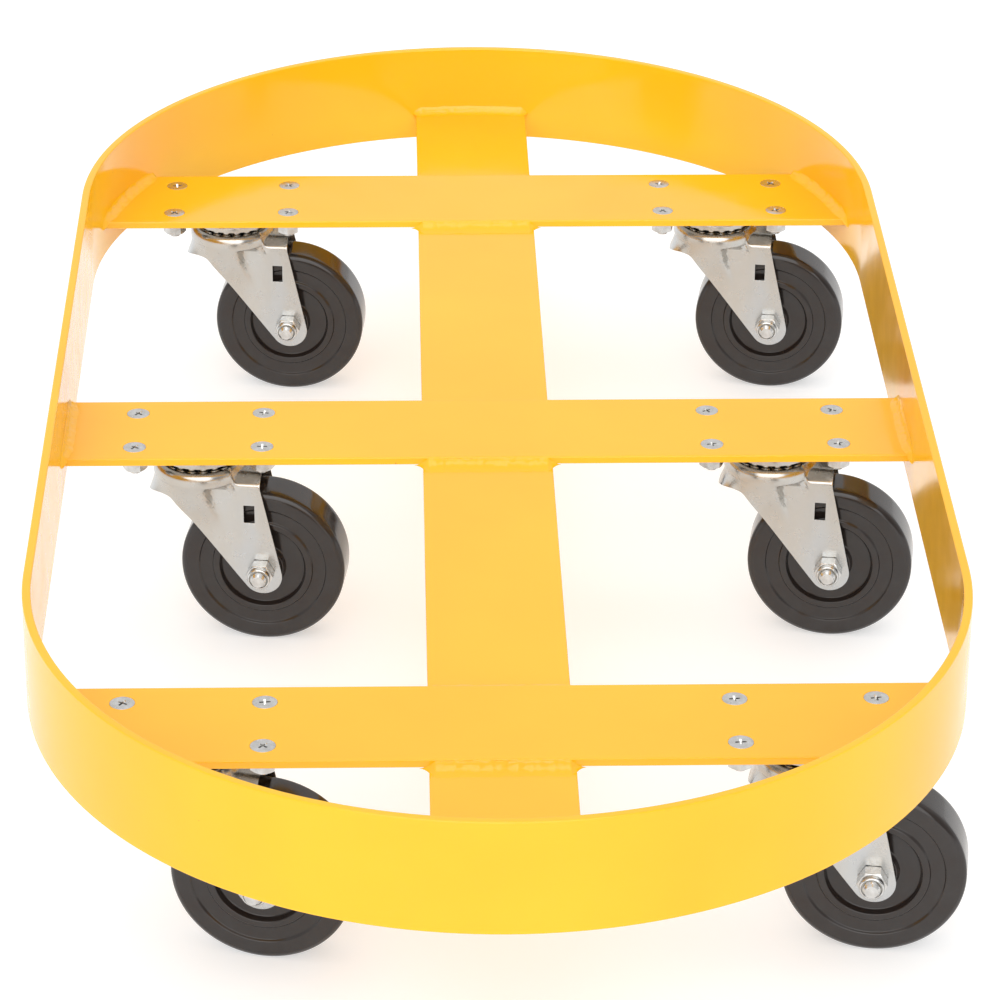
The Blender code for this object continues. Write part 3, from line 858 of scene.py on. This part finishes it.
def axle_nut_mesh():
    """A lock nut: a hexagon, and above it the round collar that holds a nylon ring."""
    body = hex_body("axle_nut", BOLT_FLATS, BOLT_SEAT, BOLT_SEAT + 8.0 * MM, BOLT_RADIUS + 0.1 * MM)
    bottom = BOLT_SEAT + 7.0 * MM
    top = BOLT_SEAT + 11.5 * MM
    collar = lathe("collar", filleted([
        (5.9 * MM, bottom, 0),
        (6.75 * MM, bottom, 0.1 * MM),
        (6.75 * MM, top - 0.5 * MM, 1.0 * MM),
        (5.7 * MM, top, 0.5 * MM),
        (5.35 * MM, top - 0.5 * MM, 0.3 * MM),
        (5.35 * MM, bottom, 0),
        (5.9 * MM, bottom, 0),
    ])[:-1], 64, closed=True)
    return smooth(along_axle(combined(body, [collar], "UNION")))


def nylon_ring_mesh():
    """The ring inside the lock nut's collar."""
    low = BOLT_SEAT + 8.1 * MM
    high = BOLT_SEAT + 10.7 * MM
    return along_axle(lathe("nylon_ring", filleted([
        (5.0 * MM, high, 0),
        (5.3 * MM, high, 0.2 * MM),
        (5.3 * MM, low, 0.1 * MM),
        (4.78 * MM, low, 0.1 * MM),
        (4.78 * MM, high, 0.3 * MM),
        (5.0 * MM, high, 0),
    ])[:-1], 48, closed=True))


# ---------------------------------------------------------------- materials

def material(name, metallic=0.0, roughness=0.5):
    made = bpy.data.materials.new(name)
    made.use_nodes = True
    shader = made.node_tree.nodes["Principled BSDF"]
    shader.inputs["Roughness"].default_value = roughness
    shader.inputs["Metallic"].default_value = metallic
    return made, shader


def add_node(made, kind, **values):
    node = made.node_tree.nodes.new(kind)
    for key, value in values.items():
        if key in node.inputs:
            node.inputs[key].default_value = value
        else:
            setattr(node, key, value)
    return node


def noise_node(made, scale, detail=2.0, rough=0.5, stretch=(1, 1, 1)):
    """A noise over the object's own coordinates, in cycles per metre."""
    place = add_node(made, "ShaderNodeTexCoord")
    mapping = add_node(made, "ShaderNodeMapping")
    mapping.inputs["Scale"].default_value = stretch
    texture = add_node(made, "ShaderNodeTexNoise", Scale=scale, Detail=detail, Roughness=rough)
    made.node_tree.links.new(place.outputs["Object"], mapping.inputs["Vector"])
    made.node_tree.links.new(mapping.outputs["Vector"], texture.inputs["Vector"])
    return texture.outputs["Fac"]


def ramp(made, value, stops):
    """A colour that follows a number through (position, colour) stops."""
    node = add_node(made, "ShaderNodeValToRGB")
    while len(node.color_ramp.elements) < len(stops):
        node.color_ramp.elements.new(0.5)
    for element, (position, colour) in zip(node.color_ramp.elements, stops):
        element.position = position
        element.color = (*colour, 1)
    made.node_tree.links.new(value, node.inputs["Fac"])
    return node.outputs["Color"]


def between(made, value, low, high):
    """A number that runs from low to high as a noise runs over its middle."""
    node = add_node(made, "ShaderNodeMapRange")
    for socket, number in (("From Min", 0.3), ("From Max", 0.7), ("To Min", low), ("To Max", high)):
        node.inputs[socket].default_value = number
    made.node_tree.links.new(value, node.inputs["Value"])
    return node.outputs["Result"]


def bump(made, shader, layers):
    """Stacked bumps; each layer is a height output and its depth in metres."""
    normal = None
    for height, depth in layers:
        node = add_node(made, "ShaderNodeBump", Strength=1.0, Distance=depth)
        made.node_tree.links.new(height, node.inputs["Height"])
        if normal:
            made.node_tree.links.new(normal, node.inputs["Normal"])
        normal = node.outputs["Normal"]
    made.node_tree.links.new(normal, shader.inputs["Normal"])


def yellow_coat():
    """Glossy powder coat: faint orange peel, slight unevenness in colour and gloss, a few dark specks."""
    made, shader = material("yellow_coat")
    link = made.node_tree.links.new
    cloud = noise_node(made, 9, 3)
    base = ramp(made, cloud, [(0.30, (0.95, 0.485, 0.010)), (0.70, (0.99, 0.525, 0.013))])
    specks = ramp(made, noise_node(made, 330, 1), [(0.135, (1, 1, 1)), (0.16, (0, 0, 0))])
    mix = add_node(made, "ShaderNodeMix", data_type="RGBA")
    mix.inputs[7].default_value = (0.62, 0.27, 0.008, 1)
    link(specks, mix.inputs[0])
    link(base, mix.inputs[6])
    link(mix.outputs[2], shader.inputs["Base Color"])
    link(between(made, noise_node(made, 40, 3), 0.10, 0.18), shader.inputs["Roughness"])
    bump(made, shader, [(noise_node(made, 330, 1.5), 0.010 * MM), (noise_node(made, 45, 2), 0.035 * MM)])
    return made


def zinc_plate():
    """Bright zinc on pressed sheet: warm and cool clouds, a fine rolled grain and slight waviness."""
    made, shader = material("zinc_plate", metallic=1.0)
    link = made.node_tree.links.new
    cloud = noise_node(made, 28, 3, 0.5, (1, 1, 0.4))
    link(ramp(made, cloud, [(0.30, (0.510, 0.470, 0.415)), (0.48, (0.530, 0.515, 0.485)),
                            (0.68, (0.520, 0.540, 0.555))]), shader.inputs["Base Color"])
    link(between(made, noise_node(made, 120, 4, 0.6), 0.20, 0.30), shader.inputs["Roughness"])
    grain = noise_node(made, 900, 2, 0.5, (1, 1, 0.12))
    bump(made, shader, [(grain, 0.003 * MM), (noise_node(made, 40, 1), 0.06 * MM)])
    return made


def bright_steel():
    """Bright plated fasteners and balls, with faint tool marks."""
    made, shader = material("bright_steel", metallic=1.0)
    link = made.node_tree.links.new
    link(ramp(made, noise_node(made, 240, 3), [(0.3, (0.52, 0.51, 0.49)), (0.7, (0.66, 0.66, 0.65))]),
         shader.inputs["Base Color"])
    link(between(made, noise_node(made, 500, 3), 0.12, 0.30), shader.inputs["Roughness"])
    bump(made, shader, [(noise_node(made, 700, 2), 0.008 * MM)])
    return made


def hard_rubber():
    """Hard moulded rubber, brown-black, faintly mottled, with a clear gloss."""
    made, shader = material("hard_rubber")
    link = made.node_tree.links.new
    cloud = noise_node(made, 45, 4, 0.6)
    link(ramp(made, cloud, [(0.28, (0.022, 0.014, 0.011)), (0.50, (0.023, 0.018, 0.016)),
                            (0.74, (0.027, 0.023, 0.022))]), shader.inputs["Base Color"])
    link(between(made, noise_node(made, 110, 4, 0.6), 0.09, 0.17), shader.inputs["Roughness"])
    bump(made, shader, [(noise_node(made, 800, 2), 0.004 * MM), (noise_node(made, 90, 2), 0.02 * MM)])
    return made


def nylon():
    """The lock nut's natural nylon ring."""
    made, shader = material("nylon", roughness=0.40)
    link = made.node_tree.links.new
    link(ramp(made, noise_node(made, 400, 2), [(0.3, (0.48, 0.47, 0.43)), (0.7, (0.62, 0.61, 0.57))]),
         shader.inputs["Base Color"])
    bump(made, shader, [(noise_node(made, 900, 2), 0.01 * MM)])
    return made


# ---------------------------------------------------------------- placing the pieces

def put(name, mesh, finish, body, replaces=(), place=None):
    """A finished piece in its place, riding on its body."""
    obj = object_from(name, mesh)
    if place:
        obj.matrix_world = place
    if not mesh.materials:
        mesh.materials.append(finish)
    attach(obj, body)
    if replaces:
        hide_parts(*replaces)
    return obj


def flat_normals(obj):
    """Keeps the flats of a plate flat beside its small rounded edges."""
    obj.modifiers.new("flat_normals", "WEIGHTED_NORMAL").keep_sharp = True


def add_frame(coat):
    meshes = {"rim": rim_mesh(), "centre_bar": centre_bar_mesh()}
    for row in ROWS:
        meshes[f"cross_bar_{row}"] = cross_bar_mesh(row)
    for name, mesh in meshes.items():
        flat_normals(put(f"{name}_coated", mesh, coat, "frame", [name]))
    # Every weld has a seed of its own for its ripple
    for number, row in enumerate(ROWS):
        y = bar_middle(row)
        welds = [rim_weld(y, side, 3 * number + side) for side in (-1, 1)]
        welds += [crossing_weld(y, edge, 20 + 3 * number + edge) for edge in (-1, 1)]
        put(f"welds_{row}", joined(f"welds_{row}", welds), coat, "frame")
    ends = [end_weld(end, 40 + end) for end in (-1, 1)]
    put("welds_centre_bar", joined("welds_centre_bar", ends), coat, "frame")


def caster_frame(name):
    """Where a caster's kingpin stands, and the same turned to the way it trails."""
    kingpin = Vector(JOINTS[f"{name}_swivel"]["pos_m"])
    axle = Vector(JOINTS[f"{name}_spin"]["pos_m"])
    fixed = Matrix.Translation((kingpin.x, kingpin.y, 0))
    trail = math.atan2(axle.y - kingpin.y, axle.x - kingpin.x)
    return fixed, fixed @ Matrix.Rotation(trail, 4, "Z")


def screw_sets(names):
    """For each caster its four screws, each turned by chance, and their four nuts."""
    chance = random.Random(7)
    screw = screw_mesh()
    nut = screw_nut_mesh()
    sets = {}
    for name in names:
        screws = []
        nuts = []
        for x, y in SCREW_CORNERS:
            spot = Matrix.Translation((x, y, 0))
            screws.append(moved(screw, spot @ Matrix.Rotation(chance.uniform(0, math.pi / 2), 4, "Z")))
            nuts.append(moved(nut, spot @ Matrix.Rotation(chance.uniform(0, math.pi / 3), 4, "Z")))
        sets[name] = (joined(f"{name}_screws", screws), joined(f"{name}_screw_nuts", nuts))
    return sets


def add_casters(zinc, bright, rubber, plastic):
    fixed_pieces = {
        "top_plate": (top_plate_mesh(), zinc, "zinc_plate"),
        "kingpin": (kingpin_mesh(), zinc, "zinc_plate"),
        "lower_race": (lower_race_mesh(), zinc, "zinc_plate"),
    }
    swivel_pieces = {
        "fork": (fork_mesh(), zinc, "zinc_plate"),
        "ball_ring": (balls_mesh(), bright, "bright_steel"),
        "axle_sleeve": (sleeve_mesh(), bright, "bright_steel"),
        "axle_bolt": (axle_bolt_mesh(), bright, "bright_steel"),
        "axle_nut": (axle_nut_mesh(), bright, "bright_steel"),
    }
    wheel = wheel_mesh()
    ring = nylon_ring_mesh()
    screws = screw_sets(CASTERS)
    for name in CASTERS:
        fixed, turned = caster_frame(name)
        for piece, (mesh, finish, slot) in fixed_pieces.items():
            put(f"{name}_{piece}_fine", mesh, finish, "frame", [f"{name}_{piece}"], fixed)
        put(f"{name}_screws", screws[name][0], bright, "frame", place=fixed)
        put(f"{name}_screw_nuts", screws[name][1], bright, "frame", place=fixed)
        for piece, (mesh, finish, slot) in swivel_pieces.items():
            put(f"{name}_{piece}_fine", mesh, finish, f"{name}_swivel", [f"{name}_{piece}"], turned)
        put(f"{name}_nylon_ring", ring, plastic, f"{name}_swivel", place=turned)
        put(f"{name}_wheel_fine", wheel, rubber, f"{name}_wheel", [f"{name}_wheel"], turned)


# ---------------------------------------------------------------- studio

CAMERA_PLACE = (-0.05588, -2.23905, 1.25801)
CAMERA_ANGLES = (-1.643, -27.656, 0.416)    # yaw, pitch and roll in degrees
CAMERA_LENS = 151.81
FLOOR_HALF = 12.0
FLOOR_GLOW = 0.50
# The world's brightness, and how much of it is lost low down in front
WORLD_LIGHT = 0.92
WORLD_LOSS = 0.62


def add_camera():
    """The camera stands in front of the dolly and above it, looking down along it with a long lens."""
    yaw, pitch, roll = (math.radians(angle) for angle in CAMERA_ANGLES)
    ahead = Vector((-math.sin(yaw) * math.cos(pitch), math.cos(yaw) * math.cos(pitch), math.sin(pitch)))
    level = Vector((math.cos(yaw), math.sin(yaw), 0))
    above = level.cross(ahead)
    right = level * math.cos(roll) + above * math.sin(roll)
    up = above * math.cos(roll) - level * math.sin(roll)
    data = bpy.data.cameras.new("camera")
    data.lens = CAMERA_LENS
    data.sensor_width = 36
    camera = object_from("camera", data)
    turn = Matrix((right, up, -ahead)).transposed().to_4x4()
    camera.matrix_world = Matrix.Translation(CAMERA_PLACE) @ turn
    bpy.context.scene.camera = camera


def add_floor():
    """A plain pale floor that glows a little, so that shadows on it stay soft."""
    corners = [(x * FLOOR_HALF, y * FLOOR_HALF, 0) for x, y in ((-1, -1), (1, -1), (1, 1), (-1, 1))]
    mesh = mesh_of("floor", corners, [(0, 1, 2, 3)])
    made, shader = material("floor", roughness=0.6)
    shader.inputs["Emission Color"].default_value = (1, 1, 1, 1)
    shader.inputs["Emission Strength"].default_value = FLOOR_GLOW
    grain = ramp(made, noise_node(made, 6, 2), [(0.3, (0.59, 0.59, 0.59)), (0.7, (0.61, 0.61, 0.61))])
    made.node_tree.links.new(grain, shader.inputs["Base Color"])
    mesh.materials.append(made)
    object_from("floor", mesh)


def add_light(name, place, target, size, power):
    data = bpy.data.lights.new(name, "AREA")
    data.shape = "RECTANGLE"
    data.size, data.size_y = size
    data.energy = power
    light = object_from(name, data)
    light.location = place
    light.rotation_euler = (Vector(target) - Vector(place)).to_track_quat("-Z", "Y").to_euler()


def add_far_light(name, towards, spread, strength):
    """A large light so far off that it is as bright on the rear rim as on the front one."""
    data = bpy.data.lights.new(name, "SUN")
    data.angle = math.radians(spread)
    data.energy = strength
    light = object_from(name, data)
    light.location = -4 * towards
    light.rotation_euler = towards.to_track_quat("-Z", "Y").to_euler()


def falling(tree, value, start, stop):
    """A number that goes smoothly from 1 to 0 as a value goes from start to stop."""
    node = tree.nodes.new("ShaderNodeMapRange")
    node.interpolation_type = "SMOOTHSTEP"
    for socket, number in (("From Min", start), ("From Max", stop), ("To Min", 1), ("To Max", 0)):
        node.inputs[socket].default_value = number
    tree.links.new(value, node.inputs["Value"])
    return node.outputs["Result"]


def add_world():
    """White all round, but dimmer low down in front, as a studio is behind the photographer."""
    world = bpy.data.worlds.new("studio")
    world.use_nodes = True
    tree = world.node_tree
    place = tree.nodes.new("ShaderNodeTexCoord")
    parts = tree.nodes.new("ShaderNodeSeparateXYZ")
    tree.links.new(place.outputs["Generated"], parts.inputs["Vector"])
    front = falling(tree, parts.outputs["Y"], -0.75, -0.05)
    low = falling(tree, parts.outputs["Z"], 0.35, 0.75)
    dim = tree.nodes.new("ShaderNodeMath")
    dim.operation = "MULTIPLY"
    tree.links.new(front, dim.inputs[0])
    tree.links.new(low, dim.inputs[1])
    strength = tree.nodes.new("ShaderNodeMath")
    strength.operation = "MULTIPLY_ADD"
    strength.inputs[1].default_value = -WORLD_LOSS
    strength.inputs[2].default_value = WORLD_LIGHT
    tree.links.new(dim.outputs["Value"], strength.inputs[0])
    background = tree.nodes["Background"]
    background.inputs["Color"].default_value = (1, 1, 1, 1)
    tree.links.new(strength.outputs["Value"], background.inputs["Strength"])
    bpy.context.scene.world = world


def add_studio():
    add_camera()
    add_floor()
    add_world()
    add_light("overhead", place=(-0.2, -0.3, 3.0), target=(0, 0, 0), size=(1.4, 1.4), power=9)
    add_far_light("front", towards=Vector((0.10, 1, -0.47)), spread=64, strength=1.80)
    bpy.context.scene.view_settings.view_transform = "Standard"


add_studio()
add_frame(yellow_coat())
add_casters(zinc_plate(), bright_steel(), hard_rubber(), nylon())
